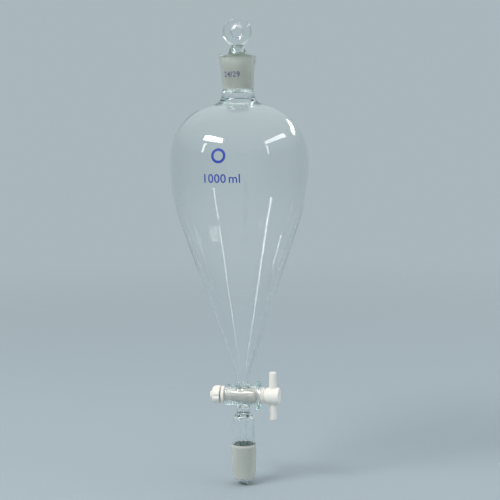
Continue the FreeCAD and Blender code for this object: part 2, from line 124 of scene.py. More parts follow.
# Each bead of the barrel: x, radius at its crest, radius of its section, and section over half width.
BARREL_BEADS = ((-14.2, 9.9, 1.6, 0.7), (14.6, 13.6, 1.9, 0.95))
PORT_RADIUS = 2.5
DISC = 388.6  # height of the centre of the stopper's disc
TAIL_RADIUS = 3.7
TAIL_FLAT = 3.0
TAIL_CLEARANCE = 0.05
THREAD_PITCH = 1.25
GROUND_CLEARANCE = 0.02  # between ground surfaces that touch
RING_RADIUS = 4.5  # of the middle of the O-ring's section
BAR_PLACE = (BAR_LOW[0] + BAR_HIGH[0]) / 2
NUT_DOME = 3.4
NUT_LOBES = 8

# How finely things are meshed: grid steps in millimetres, segments of a turn, and points of a corner.

BARREL_STEP = 0.46
STOPPER_STEP = 0.4
VESSEL_SEGMENTS = 128
TURNED_SEGMENTS = 96
ROUND_SEGMENTS = 64
RIM_STEPS = 9
BARREL_REACH = 14.4  # how far above and below its axis the stopcock is a blown shape

# Looks that several materials share, and where the camera stands.

GLASS_IOR = 1.473
GLASS_TINT = (0.55, 0.82, 0.78)
GLASS_DENSITY = 15
VIEW_SIDE = 12.0  # degrees from the front to the camera

# Outlines: lists of (radius, height) points


def arc(centre, radius, start, end, steps):
    """Points on an arc between two angles in radians, both ends included."""
    angles = np.linspace(start, end, steps)
    return [(centre[0] + radius * math.cos(a), centre[1] + radius * math.sin(a)) for a in angles]


def line(first, last, steps):
    """Evenly spaced points from first to last, both ends included."""
    return [tuple(point) for point in np.linspace(first, last, steps)]


def join_paths(*paths):
    """One path from several, without the points that two of them share."""
    joined = []
    for path in paths:
        for point in path:
            if not joined or math.dist(point, joined[-1]) > 1e-4:
                joined.append(tuple(point))
    return joined


def rounded(corners, radii, steps=7):
    """A path through corners, with each inner corner rounded by its radius."""
    points = [np.array(corner, float) for corner in corners]
    path = [tuple(points[0])]
    for before, here, after, radius in zip(points, points[1:], points[2:], radii):
        back = (before - here) / np.linalg.norm(before - here)
        on = (after - here) / np.linalg.norm(after - here)
        half = math.acos(np.clip(back @ on, -1, 1)) / 2
        reach = radius / math.tan(half)
        middle = here + (back + on) / np.linalg.norm(back + on) * radius / math.sin(half)
        first = here + back * reach - middle
        last = here + on * reach - middle
        start = math.atan2(first[1], first[0])
        turn = math.atan2(first[0] * last[1] - first[1] * last[0], first @ last)
        path += arc(middle, radius, start, start + turn, steps)
    path.append(tuple(points[-1]))
    return path


# Meshes


def new_mesh(name, vertices, faces):
    """A closed mesh from millimetre vertices, with its faces turned outward."""
    mesh = bpy.data.meshes.new(name)
    mesh.from_pydata((np.array(vertices, float) * MM).tolist(), [], [list(map(int, f)) for f in faces])
    work = bmesh.new()
    work.from_mesh(mesh)
    bmesh.ops.recalc_face_normals(work, faces=work.faces)
    work.to_mesh(mesh)
    work.free()
    return mesh


def place_mesh(name, mesh):
    """A new object in the scene that holds the mesh."""
    thing = bpy.data.objects.new(name, mesh)
    bpy.context.scene.collection.objects.link(thing)
    return thing


def new_piece(name, vertices, faces, materials, body):
    """A smooth-shaded piece from millimetre vertices, which rides on a CAD body."""
    mesh = new_mesh(name, vertices, faces)
    for material in materials:
        mesh.materials.append(material)
    mesh.shade_smooth()
    piece = place_mesh(name, mesh)
    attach(piece, body)
    return piece


def keep_edges(piece, degrees):
    """Shade edges sharper than this angle as edges."""
    piece.data.set_sharp_from_angle(angle=math.radians(degrees))


def lathe(path, segments, offset=0):
    """Vertices and quads of a path of (radius, height) turned about Z. Indices start at offset."""
    angles = np.arange(segments) * 2 * math.pi / segments
    vertices = [(r * math.cos(a), r * math.sin(a), z) for r, z in path for a in angles]
    faces = []
    for ring in range(len(path) - 1):
        here = offset + ring * segments
        for i in range(segments):
            j = (i + 1) % segments
            faces.append((here + i, here + j, here + segments + j, here + segments + i))
    return vertices, faces


def lathe_ends(count, segments):
    """One flat face over each end of a lathed shape with count vertices."""
    return [tuple(range(segments)), tuple(range(count - segments, count))]


def zip_loops(points, first, second):
    """Triangles between two rings of vertex indices about Z."""
    rings = []
    for loop in (first, second):
        rings.append(sorted((math.atan2(points[i][1], points[i][0]), i) for i in loop))
    a, b = rings
    faces = []
    i = j = 0
    while i < len(a) or j < len(b):
        next_a = a[i + 1][0] if i + 1 < len(a) else a[0][0] + 2 * math.pi
        next_b = b[j + 1][0] if j + 1 < len(b) else b[0][0] + 2 * math.pi
        if j >= len(b) or (i < len(a) and next_a <= next_b):
            faces.append((a[i][1], a[(i + 1) % len(a)][1], b[j % len(b)][1]))
            i += 1
        else:
            faces.append((b[j][1], b[(j + 1) % len(b)][1], a[i % len(a)][1]))
            j += 1
    return faces


def along_x(rows, segments, closed):
    """Vertices and faces of rings about the stopcock's axis.

    rows holds (x, radius) pairs, where radius is a number or a function of x and the angle from +Y.
    A closed shape is a ring-shaped solid. Otherwise each end is closed by a flat fan.
    """
    angles = np.arange(segments) * 2 * math.pi / segments
    vertices = []
    for x, radius in rows:
        for a in angles:
            r = radius(x, a) if callable(radius) else radius
            vertices.append((x, r * math.cos(a), r * math.sin(a) + AXIS))
    faces = []
    rings = len(rows)
    for ring in range(rings if closed else rings - 1):
        here = ring * segments
        on = (ring + 1) % rings * segments
        for i in range(segments):
            j = (i + 1) % segments
            faces.append((here + i, here + j, on + j, on + i))
    if not closed:
        for ring in (0, rings - 1):
            middle = len(vertices)
            vertices.append((rows[ring][0], 0, AXIS))
            for i in range(segments):
                faces.append((middle, ring * segments + i, ring * segments + (i + 1) % segments))
    return vertices, faces


def cut_cylinder(piece, x, radius, length):
    """Bore an upright round hole through a piece, at x on the stopcock's axis."""
    path = [(radius, AXIS - length), (radius, AXIS + length)]
    vertices, faces = lathe(path, ROUND_SEGMENTS)
    faces += lathe_ends(len(vertices), ROUND_SEGMENTS)
    vertices = [(a + x, b, c) for a, b, c in vertices]
    mesh = new_mesh("drill", vertices, faces)
    drill = place_mesh("drill", mesh)
    cut = piece.modifiers.new("hole", "BOOLEAN")
    cut.operation = "DIFFERENCE"
    cut.solver = "EXACT"
    cut.object = drill
    bpy.context.view_layer.update()
    shape = piece.evaluated_get(bpy.context.evaluated_depsgraph_get())
    bored = bpy.data.meshes.new_from_object(shape)
    piece.modifiers.clear()
    piece.data = bored
    bpy.data.objects.remove(drill)
    bpy.data.meshes.remove(mesh)


# Blown shapes: a distance field in millimetres, turned into a smooth mesh


def blend_min(a, b, reach):
    """The lesser of two fields, rounded where they meet."""
    mix = np.clip(0.5 + 0.5 * (b - a) / reach, 0, 1)
    return b * (1 - mix) + a * mix - reach * mix * (1 - mix)


def blend_max(a, b, reach):
    """The greater of two fields, rounded where they meet."""
    return -blend_min(-a, -b, reach)


def settle(field, points, step, rounds=4):
    """Move points onto the surface where the field is zero."""
    nudge = step * 0.05
    for _ in range(rounds):
        slope = np.empty_like(points)
        for axis in range(3):
            aside = np.zeros(3)
            aside[axis] = nudge
            slope[:, axis] = (field(points + aside) - field(points - aside)) / (2 * nudge)
        length = np.maximum((slope**2).sum(1), 1e-6)
        move = (field(points) / length)[:, None] * slope
        points = points - np.clip(move, -step, step)
    return points


def crossings(values, inside, active):
    """For each cell, the mean point where the surface crosses its edges, in grid steps."""
    sums = np.zeros((len(active), 3))
    hits = np.zeros(len(active))
    for corner in np.ndindex(2, 2, 2):
        for axis in range(3):
            if corner[axis]:
                continue
            along = np.zeros(3, int)
            along[axis] = 1
            start = active + corner
            end = start + along
            f = values[tuple(start.T)]
            g = values[tuple(end.T)]
            cross = inside[tuple(start.T)] != inside[tuple(end.T)]
            share = np.where(cross, f / np.where(cross, f - g, 1), 0)
            sums += np.where(cross[:, None], start + share[:, None] * along, 0)
            hits += cross
    return sums / hits[:, None]


def net_faces(inside, number):
    """One quad for each grid edge that the surface crosses, as indices of the cells around it."""
    counts = inside.shape
    faces = []
    for axis in range(3):
        one, two = [i for i in range(3) if i != axis]
        lower = inside.take(range(counts[axis] - 1), axis)
        upper = inside.take(range(1, counts[axis]), axis)
        start = np.argwhere(lower != upper)
        keep = (start[:, one] > 0) & (start[:, two] > 0)
        keep &= (start[:, one] < counts[one] - 1) & (start[:, two] < counts[two] - 1)
        start = start[keep]
        quad = []
        for u, v in ((0, 0), (1, 0), (1, 1), (0, 1)):
            cell = start.copy()
            cell[:, one] -= u
            cell[:, two] -= v
            quad.append(number[tuple(cell.T)])
        faces.append(np.stack(quad, axis=1))
    return np.concatenate(faces)


def surface_net(field, low, high, step):
    """Vertices, quads and grid cells of the surface where the field is zero, inside a box."""
    low = np.array(low, float)
    counts = np.ceil((np.array(high) - low) / step).astype(int) + 1
    axes = [low[i] + step * np.arange(counts[i]) for i in range(3)]
    grid = np.stack(np.meshgrid(*axes, indexing="ij"), axis=-1).reshape(-1, 3)
    values = field(grid).reshape(counts)
    inside = values < 0
    cells = counts - 1
    total = np.zeros(cells, int)
    for i, j, k in np.ndindex(2, 2, 2):
        total += inside[i : i + cells[0], j : j + cells[1], k : k + cells[2]]
    active = np.argwhere((total > 0) & (total < 8))
    number = np.full(cells, -1)
    number[tuple(active.T)] = np.arange(len(active))
    vertices = low + step * crossings(values, inside, active)
    return settle(field, vertices, step), net_faces(inside, number), active


# Glass vessel


def pear_side(inset, fillet):
    """The bulb's outline from the neck down to the stem, inset from the outside."""
    angle = math.radians(BULB_SLANT)
    outward = np.array([math.cos(angle), -math.sin(angle)])
    neck = NECK_RADIUS - inset
    stem = STEM_RADIUS - inset
    dome = BULB_DOME - inset
    belly = BULB_BELLY - inset
    foot = BULB_FOOT + inset
    equator = np.array([BULB_HIGH[0] - inset, BULB_EQUATOR])
    dome_centre = equator - np.array([dome, 0])
    belly_centre = equator - np.array([belly, 0])
    across = neck + fillet - dome_centre[0]
    neck_centre = dome_centre + np.array([across, math.sqrt((dome + fillet) ** 2 - across**2)])
    top = math.atan2(neck_centre[1] - dome_centre[1], neck_centre[0] - dome_centre[0])
    cone_top = belly_centre + outward * belly
    drop = ((stem + foot - cone_top[0]) * math.cos(angle) - foot) / math.sin(angle)
    foot_centre = np.array([stem + foot, cone_top[1] + drop])
    return join_paths(
        [(neck, NECK)],
        arc(neck_centre, fillet, math.pi, math.pi + top, 12),
        arc(dome_centre, dome, top, 0, 56),
        arc(belly_centre, belly, 0, -angle, 36),
        line(cone_top, foot_centre - outward * foot, 24),
        arc(foot_centre, foot, math.pi - angle, math.pi, 8),
    )


def socket_outside():
    """From the neck up the socket's outside, over its beaded rim to the gauge plane."""
    top = SOCKET_HIGH[2]
    corners = [
        (NECK_RADIUS, NECK),
        (NECK_RADIUS - 0.1, NECK + 1.2),
        (14.25, GAUGE - JOINT_LENGTH),
        (15.8, GAUGE - 5.7),
        (RIM_RADIUS, GAUGE - 4.4),
        (RIM_RADIUS, top),
        (JOINT_RADIUS, top),
        (JOINT_RADIUS, GAUGE),
    ]
    return rounded(corners, [2.0, 8.0, 0.9, 1.4, 2.2, 1.6], RIM_STEPS)


def socket_inside():
    """From the gauge plane down the ground bore to the neck's inside."""
    bore_end = GAUGE - JOINT_LENGTH
    neck_bore = NECK_RADIUS - BULB_WALL
    step = [
        (JOINT_END, bore_end),
        (JOINT_END, bore_end - 1.2),
        (neck_bore, NECK + 1.0),
        (neck_bore, NECK),
    ]
    return join_paths(line((JOINT_RADIUS, GAUGE), step[0], 12), rounded(step, [0.7, 1.5]))


def upper_path():
    """The vessel above the stopcock: up the outside, over the rim and down the inside."""
    low = AXIS + BARREL_REACH
    return join_paths(
        [(STEM_RADIUS, low)],
        reversed(pear_side(0, NECK_FILLET)),
        socket_outside(),
        socket_inside(),
        pear_side(BULB_WALL, NECK_FILLET_INSIDE),
        [(STEM_BORE, low)],
    )


def jacket_outside():
    """From the lower stem over the ring seal's shoulder and down to the cone's large end."""
    high = AXIS - BARREL_REACH
    seal = 7.8
    bend = ((JACKET_RADIUS - seal) ** 2 + (SEAL - SHOULDER) ** 2) / (2 * (JACKET_RADIUS - seal))
    centre = (JACKET_RADIUS - bend, SHOULDER)
    bend_end = 0.86 * math.acos((seal - centre[0]) / bend)
    flare = [
        (LOWER_STEM_RADIUS, high),
        (LOWER_STEM_RADIUS, SEAL + 0.4),
        (seal, SEAL),
        (seal + 0.6, SEAL - 0.6),
    ]
    foot = [(JACKET_RADIUS, 5.0), (JACKET_RADIUS, 3.4), (JOINT_RADIUS, 1.2), (JOINT_RADIUS, 0)]
    return join_paths(
        rounded(flare, [1.4, 0.6]),
        reversed(arc(centre, bend, 0, bend_end, 12)),
        line((JACKET_RADIUS, SHOULDER), foot[0], 6),
        rounded(foot, [1.2, 1.0]),
    )


def cone_outside():
    """Down the ground cone and round its fire-polished end."""
    low = CONE_LOW[2]
    end = [
        (JOINT_END, -JOINT_LENGTH),
        (JOINT_END - 0.04, low),
        (CONE_BORE, low),
        (CONE_BORE, 1 - JOINT_LENGTH),
    ]
    return join_paths(line((JOINT_RADIUS, 0), end[0], 12), rounded(end, [0.78, 0.78]))


def jacket_inside():
    """From the cone's end up inside the wide tube, over to the drip tube and down to its tip."""
    tip = DRIP_LOW[2]
    under = [
        (JACKET_BORE, SHOULDER),
        (JACKET_BORE - 0.4, SEAL - 4.5),
        (6.4, SEAL - 2.4),
        (DRIP_RADIUS, SEAL - 3.7),
        (DRIP_RADIUS, SEAL - 5.7),
    ]
    end = [(DRIP_RADIUS, tip + 1), (DRIP_RADIUS, tip), (DRIP_BORE, tip), (DRIP_BORE, tip + 1)]
    return join_paths(
        line((CONE_BORE, 1 - JOINT_LENGTH), (JACKET_BORE, 0), 8),
        line((JACKET_BORE, 0), (JACKET_BORE, SHOULDER), 6),
        rounded(under, [2.5, 1.5, 1.8]),
        line(under[-1], end[0], 24),
        rounded(end, [0.4, 0.4]),
    )


def drip_bore():
    """Up the drip tube's bore and into the lower stem's."""
    tip = DRIP_LOW[2] + 1
    widening = [
        (DRIP_BORE, SEAL - 3.2),
        (DRIP_BORE, SEAL - 2.1),
        (STEM_BORE, SEAL + 1.8),
        (STEM_BORE, AXIS - BARREL_REACH),
    ]
    return join_paths(line((DRIP_BORE, tip), widening[0], 24), rounded(widening, [2.0, 3.0]))


def barrel_field(p):
    """The stopcock's barrel with its beads, stems and bores, about the centre of its axis."""
    x, y, z = p.T
    port_end = 10.4
    around = np.hypot(y, z)
    across = np.hypot(x, y)
    side = (around - BARREL_RADIUS - BARREL_SLOPE * x) / math.hypot(1, BARREL_SLOPE)
    ends = np.maximum(BARREL_SMALL_END - x, x - BARREL_LARGE_END)
    solid = blend_max(side, ends, 1.2)
    for place, crest, section, flatness in BARREL_BEADS:
        bead = np.hypot((x - place) * flatness, around - (crest - section)) - section
        solid = blend_min(solid, bead, 2.6)
    solid = blend_max(solid, ends, 0.9)
    solid = blend_min(solid, np.maximum(across - STEM_RADIUS, -z), 3.0)
    solid = blend_min(solid, np.maximum(across - LOWER_STEM_RADIUS, z), 3.0)
    cavity = (around - BARREL_BORE - BORE_SLOPE * x) / math.hypot(1, BORE_SLOPE)
    cavity = blend_min(cavity, across - PORT_RADIUS, 0.6)
    stems = blend_max(across - STEM_BORE, port_end - np.abs(z), 2.4)
    return blend_max(solid, -blend_min(cavity, stems, 0.8), 0.5)


def slant_tip(vertices):
    """Raise the drip tube's end on its short side."""
    tip = DRIP_LOW[2]
    for i, (x, y, z) in enumerate(vertices):
        if math.hypot(x, y) < DRIP_RADIUS + 0.1 and z < 0:
            lift = (DRIP_SHORT_SIDE - tip) * (DRIP_RADIUS - x) / (2 * DRIP_RADIUS)
            vertices[i] = (x, y, z + lift * z / tip)


def vessel_shape():
    """Vertices and faces of the whole vessel: the blown stopcock, zipped to turned glass above and below."""
    reach = [20.0, 15.4, BARREL_REACH]
    net, quads, cells = surface_net(barrel_field, [-r for r in reach], reach, BARREL_STEP)
    net = net + np.array([0, 0, AXIS])
    vertices = [tuple(point) for point in net]
    faces = [tuple(quad) for quad in quads]
    lower = join_paths(jacket_outside(), cone_outside(), jacket_inside(), drip_bore())
    for path, layer in ((upper_path(), cells[:, 2].max()), (lower, 0)):
        offset = len(vertices)
        ring_vertices, ring_faces = lathe(path, VESSEL_SEGMENTS, offset)
        vertices += ring_vertices
        faces += ring_faces
        edge = np.flatnonzero(cells[:, 2] == layer)
        outer = np.hypot(net[edge, 0], net[edge, 1]) > (STEM_RADIUS + STEM_BORE) / 2
        last = len(vertices) - VESSEL_SEGMENTS
        faces += zip_loops(vertices, range(offset, offset + VESSEL_SEGMENTS), edge[outer])
        faces += zip_loops(vertices, range(last, len(vertices)), edge[~outer])
    slant_tip(vertices)
    return vertices, faces


def make_vessel(clear, ground, bore):
    """The vessel as one closed piece of glass, with its ground cone and socket in their own materials."""
    ground_top = 2.6
    vertices, faces = vessel_shape()
    vessel = new_piece("glass_vessel", vertices, faces, [clear, ground, bore], "vessel")
    for face in vessel.data.polygons:
        x, y, z = np.array(face.center) / MM
        radius = math.hypot(x, y)
        on_cone = -JOINT_LENGTH < z < ground_top and radius > JOINT_END - 0.2
        on_socket = GAUGE - JOINT_LENGTH < z < GAUGE and radius < JOINT_RADIUS + 0.1
        face.material_index = 2 if on_socket else int(on_cone)
    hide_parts(*frame["record"]["behaviour"]["bodies"]["vessel"])


# Stopper


def stopper_field(p):
    """The stopper about its disc's centre: a dished disc, a waisted neck and the ground plug."""
    x, y, z = p.T
    gauge = GAUGE - DISC
    low = STOPPER_LOW[2] - DISC
    crest = STOPPER_HIGH[2] - DISC
    rim = 3.9
    half_web = 2.1
    around = np.hypot(x, z)
    across = np.hypot(x, y)
    disc = np.hypot(around - (crest - rim), y) - rim
    web = blend_max(np.abs(y) - half_web, around - (crest - rim), 0.5)
    disc = blend_min(disc, web, 3.2)
    slope = math.hypot(1, JOINT_SLOPE)
    plug = (across - JOINT_RADIUS + GROUND_CLEARANCE + JOINT_SLOPE * (gauge - z)) / slope
    plug = blend_max(plug, low - z, 1.8)
    plug = blend_max(plug, z - gauge - 1.0, 2.2)
    waist = -12.0
    waist_radius = 6.7
    neck = across - waist_radius - 0.03 * np.clip(waist - z, 0, 10.2) ** 2
    neck = blend_max(neck, z - waist, 5.0)
    neck = np.maximum(neck, gauge - 2 - z)
    return blend_min(blend_min(disc, neck, 2.2), plug, 2.0)


def make_stopper(clear, ground):
    """The pressed glass stopper, ground along its plug."""
    low = [-14.2, -12.8, STOPPER_LOW[2] - DISC - 0.8]
    high = [14.2, 12.8, 14.2]
    net, quads, _ = surface_net(stopper_field, low, high, STOPPER_STEP)
    net = net + np.array([0, 0, DISC])
    stopper = new_piece("stopper", net, quads, [clear, ground], "stopper")
    for face in stopper.data.polygons:
        x, y, z = np.array(face.center) / MM
        taper = JOINT_RADIUS - JOINT_SLOPE * (GAUGE - z)
        face.material_index = int(z < GAUGE and math.hypot(x, y) > taper - 0.4)
    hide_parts("glass_stopper")


# Stopcock's PTFE pieces and O-ring


def thread(x, angle, depth):
    """Depth of a right-handed thread's groove, which advances toward +X as the angle from +Y grows."""
    steepness = 1.6
    phase = (-x / THREAD_PITCH + angle / (2 * math.pi)) % 1
    return depth * (1 - min(1.0, abs(2 * phase - 1) * steepness))


def tail_radius(x, angle):
    """The plug's tail: threaded, with a flat on top."""
    start = PLUG_LOW[0] + 0.5
    end = -19.2
    crest = TAIL_RADIUS - 0.6 * max(0.0, PLUG_LOW[0] + 0.6 - x)
    runout = min(1.0, max(0.0, end - x))
    groove = thread(x, angle, 0.55) * runout * (x > start)
    radius = crest - groove
    if math.sin(angle) > 0.1:
        radius = min(radius, TAIL_FLAT / math.sin(angle))
    return radius


def make_plug(ptfe):
    """The tapered plug in one piece with its hub and threaded tail."""
    small, shoulder, hub = BARREL_SMALL_END, 20.6, 21.6
    end, hub_radius, edge = PLUG_HIGH[0], 8.0, 1.2

    def taper(x):
        return BARREL_BORE - GROUND_CLEARANCE + BORE_SLOPE * x

    rows = [(x, tail_radius) for x in np.linspace(PLUG_LOW[0], small - 0.05, 112)]
    rows += [(small, TAIL_RADIUS - 0.6), (small, taper(small) - 0.35), (small + 0.35, taper(small + 0.35))]
    rows += [(x, taper(x)) for x in np.linspace(small + 1, shoulder - 0.4, 36)]
    rows += [(shoulder - 0.12, taper(shoulder) - 0.12), (shoulder, taper(shoulder) - 0.4)]
    rows += [(shoulder, 6.75), (shoulder + 0.15, 6.6), (hub - 0.15, 6.6), (hub, 6.75)]
    rows += [(hub + 0.7, 7.25), (hub + 1.6, 7.68), (hub + 2.6, 7.93), (hub + 3.4, hub_radius)]
    rows += [(x, hub_radius) for x in np.linspace(hub + 4.2, end - 1.8, 10)]
    rows += [(x, r) for r, x in arc((hub_radius - edge, end - edge), edge, 0, math.pi / 2, 7)]
    rows += [(end, 5.4), (end, 3.8), (end, 2.0)]
    vertices, faces = along_x(rows, TURNED_SEGMENTS, closed=False)
    plug = new_piece("plug", vertices, faces, [ptfe], "plug")
    cut_cylinder(plug, 0, 2.0, 12)
    cut_cylinder(plug, BAR_PLACE, (BAR_HIGH[0] - BAR_LOW[0]) / 2 + 0.03, 12)
    keep_edges(plug, 32)
    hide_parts("stopcock_plug")


def make_bar(ptfe):
    """The round bar through the hub, with rounded ends."""
    radius = BAR_HIGH[1]
    low, high = BAR_LOW[2], BAR_HIGH[2]
    edge = 0.9
    path = [(0.8, low), (1.7, low)]
    path += arc((radius - edge, low + edge), edge, -math.pi / 2, 0, 7)
    path += line((radius, low + 2), (radius, high - 2), 24)
    path += arc((radius - edge, high - edge), edge, 0, math.pi / 2, 7)
    path += [(1.7, high), (0.8, high)]
    vertices, faces = lathe(path, ROUND_SEGMENTS)
    faces += lathe_ends(len(vertices), ROUND_SEGMENTS)
    vertices = [(x + BAR_PLACE, y, z) for x, y, z in vertices]
    bar = new_piece("turning_bar", vertices, faces, [ptfe], "plug")
    keep_edges(bar, 40)
    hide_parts("handle_bar")


def make_washer(ptfe):
    """The washer, with bevelled edges and a D-shaped hole for the plug's tail."""
    radius = WASHER_HIGH[1]
    low, high = WASHER_LOW[0], WASHER_HIGH[0]

    def hole(_, angle):
        flat = TAIL_FLAT + TAIL_CLEARANCE
        round_part = TAIL_RADIUS + TAIL_CLEARANCE
        return min(round_part, flat / math.sin(angle)) if math.sin(angle) > 0.1 else round_part

    rows = [(low, hole), (low, 5.0), (low, radius - 0.45), (low + 0.15, radius - 0.12), (low + 0.5, radius)]
    rows += [(x, radius) for x in np.linspace(low + 0.9, high - 0.9, 3)]
    rows += [(high - 0.5, radius), (high - 0.15, radius - 0.12), (high, radius - 0.45), (high, 5.0)]
    rows += [(high, hole), ((low + high) / 2, hole)]
    vertices, faces = along_x(rows, 128, closed=True)
    washer = new_piece("washer", vertices, faces, [ptfe], "tail_seal")
    keep_edges(washer, 32)
    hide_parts("tail_washer")


def make_ring(rubber):
    """The O-ring between the washer and the nut."""
    clearance = 0.02
    centre = ((RING_LOW[0] + RING_HIGH[0]) / 2, RING_RADIUS)
    section = (RING_HIGH[0] - RING_LOW[0]) / 2 - clearance
    rows = arc(centre, section, 0, 2 * math.pi, 25)[:-1]
    vertices, faces = along_x(rows, TURNED_SEGMENTS, closed=True)
    ring = new_piece("rubber_ring", vertices, faces, [rubber], "tail_seal")
    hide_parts("o_ring")


def nut_outside(x, angle):
    """The nut's domed outside with a rounded scallop between each pair of lobes."""
    radius = 8.55
    bevel = 0.5
    into = x - NUT_LOW[0]
    lead = NUT_HIGH[0] - x
    if into < NUT_DOME:
        radius = radius - NUT_DOME + math.sqrt(NUT_DOME**2 - (NUT_DOME - into) ** 2)
    if lead < bevel:
        radius -= bevel - lead
    pitch = 2 * math.pi / NUT_LOBES
    aside = (angle + math.pi / 2 + pitch / 2) % pitch - pitch / 2
    place, scallop = 9.7, 1.9
    sine = place * math.sin(aside)
    groove = place * math.cos(aside) - math.sqrt(scallop**2 - sine**2) if abs(sine) < scallop else place
    return blend_min(radius, groove, 0.6)


def nut_inside(x, angle):
    """The nut's threaded hole, widened at both mouths."""
    mouth = 0.5 - min(x - NUT_LOW[0], NUT_HIGH[0] - x, 0.5)
    return TAIL_RADIUS + TAIL_CLEARANCE + max(mouth, thread(x, angle, 0.45))


def make_nut(ptfe):
    """The lobed nut that draws the plug into the barrel."""
    low, high = NUT_LOW[0], NUT_HIGH[0]
    near = low + NUT_DOME * (1 - np.cos(np.linspace(0, math.pi / 2, 14)))
    outside = list(near) + list(np.linspace(low + 3.8, high - 0.55, 12)) + [high - 0.5, high - 0.25, high]
    rows = [(x, nut_outside) for x in outside]
    rows += [(x, nut_inside) for x in np.linspace(high, low, 60)]
    vertices, faces = along_x(rows, 192, closed=True)
    nut = new_piece("nut", vertices, faces, [ptfe], "nut")
    keep_edges(nut, 38)
    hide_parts("tension_nut")


# Printed marks


def outside_radius(height):
    """The glass's outside radius at a height on the bulb or the socket."""
    to_rim = socket_outside()[: -RIM_STEPS - 1]
    path = join_paths(reversed(pear_side(0, NECK_FILLET)), to_rim)
    heights = [z for _, z in path]
    radii = [r for r, _ in path]
    return np.interp(height, heights, radii)


def flat_text(words, height):
    """A flat mesh of the words, centred on the origin, with capitals this high in millimetres."""
    size_per_capital = 1.4
    curve = bpy.data.curves.new("words", "FONT")
    curve.body = words
    curve.align_x = "CENTER"
    curve.align_y = "CENTER"
    curve.size = height * size_per_capital
    curve.offset = height * 0.012
    curve.space_character = 1.04
    curve.space_word = 0.45
    curve.resolution_u = 4
    holder = bpy.data.objects.new("words", curve)
    bpy.context.scene.collection.objects.link(holder)
    bpy.context.view_layer.update()
    shape = holder.evaluated_get(bpy.context.evaluated_depsgraph_get())
    mesh = bpy.data.meshes.new_from_object(shape)
    bpy.data.objects.remove(holder)
    bpy.data.curves.remove(curve)
    return mesh


def flat_ring(outer, inner):
    """A flat ring about the origin, with its radii in millimetres."""
    vertices, faces = lathe([(outer, 0), (inner, 0)], ROUND_SEGMENTS)
    mesh = bpy.data.meshes.new("ring")
    mesh.from_pydata(vertices, [], faces)
    return mesh


def cut_strips(flat, width):
    """Points, triangles and rim edges of a flat mesh, cut into upright strips so that it can bend."""
    work = bmesh.new()
    work.from_mesh(flat)
    bpy.data.meshes.remove(flat)
    bmesh.ops.remove_doubles(work, verts=work.verts, dist=0.002)
    reach = max(abs(v.co.x) for v in work.verts)
    cut = -reach + width
    while cut < reach:
        geometry = list(work.verts) + list(work.edges) + list(work.faces)
        bmesh.ops.bisect_plane(work, geom=geometry, plane_co=(cut, 0, 0), plane_no=(1, 0, 0), dist=1e-5)
        cut += width
    bmesh.ops.dissolve_degenerate(work, dist=0.01, edges=work.edges)
    bmesh.ops.triangulate(work, faces=work.faces)
    work.verts.index_update()
    base = [(v.co.x, v.co.y) for v in work.verts]
    front = [tuple(v.index for v in face.verts) for face in work.faces]
    rim = [tuple(v.index for v in edge.verts) for edge in work.edges if edge.is_boundary]
    work.free()
    return base, front, rim


def wrap_mark(name, flat, azimuth, height, ink):
    """A thin print on the glass, from a flat mesh in millimetres."""
    front_lift, back_lift = 0.045, 0.008
    base, front, rim = cut_strips(flat, 0.7)
    vertices = []
    for lift in (front_lift, back_lift):
        for u, v in base:
            radius = float(outside_radius(height + v))
            angle = math.radians(azimuth - 90) + u / radius
            r = radius + lift
            vertices.append((r * math.cos(angle), r * math.sin(angle), height + v))
    count = len(base)
    faces = front + [tuple(i + count for i in reversed(face)) for face in front]
    faces += [(a, b, b + count, a + count) for a, b in rim]
    mark = new_piece(name, vertices, faces, [ink], "vessel")
    keep_edges(mark, 40)


# Materials


def new_material(name, **values):
    """A Principled material with plain values on its sockets."""
    material = bpy.data.materials.new(name)
    material.use_nodes = True
    tree = material.node_tree
    shader = tree.nodes["Principled BSDF"]
    for key, value in values.items():
        shader.inputs[key.replace("_", " ")].default_value = value
    return material, tree, shader


def noise(tree, scale, detail=2.0, stretch=(1, 1, 1)):
    """A noise texture in the object's own space. scale is in cycles per metre."""
    coordinates = tree.nodes.new("ShaderNodeTexCoord")
    mapping = tree.nodes.new("ShaderNodeMapping")
    mapping.inputs["Scale"].default_value = stretch
    texture = tree.nodes.new("ShaderNodeTexNoise")
    texture.inputs["Scale"].default_value = scale
    texture.inputs["Detail"].default_value = detail
    tree.links.new(coordinates.outputs["Object"], mapping.inputs["Vector"])
    tree.links.new(mapping.outputs["Vector"], texture.inputs["Vector"])
    return texture.outputs["Fac"]


def ramp(tree, source, stops):
    """A colour ramp over a value, from (position, colour) stops."""
    node = tree.nodes.new("ShaderNodeValToRGB")
    elements = node.color_ramp.elements
    while len(elements) < len(stops):
        elements.new(0.5)
    for element, (position, colour) in zip(elements, stops):
        element.position = position
        element.color = (*colour, 1)
    tree.links.new(source, node.inputs["Fac"])
    return node.outputs["Color"]


def to_range(tree, source, low, high):
    """A value from 0 to 1, moved into a range."""
    node = tree.nodes.new("ShaderNodeMapRange")
    node.inputs["To Min"].default_value = low
    node.inputs["To Max"].default_value = high
    tree.links.new(source, node.inputs["Value"])
    return node.outputs["Result"]


def bump(tree, shader, source, strength, distance):
    """Give the shader a bumpy surface. distance is in metres."""
    node = tree.nodes.new("ShaderNodeBump")
    node.inputs["Strength"].default_value = strength
    node.inputs["Distance"].default_value = distance
    tree.links.new(source, node.inputs["Height"])
    tree.links.new(node.outputs["Normal"], shader.inputs["Normal"])


def absorb(tree):
    """Tint light by the thickness of glass that it crosses."""
    volume = tree.nodes.new("ShaderNodeVolumeAbsorption")
    volume.inputs["Color"].default_value = (*GLASS_TINT, 1)
    volume.inputs["Density"].default_value = GLASS_DENSITY
    output = tree.nodes["Material Output"]
    tree.links.new(volume.outputs["Volume"], output.inputs["Volume"])


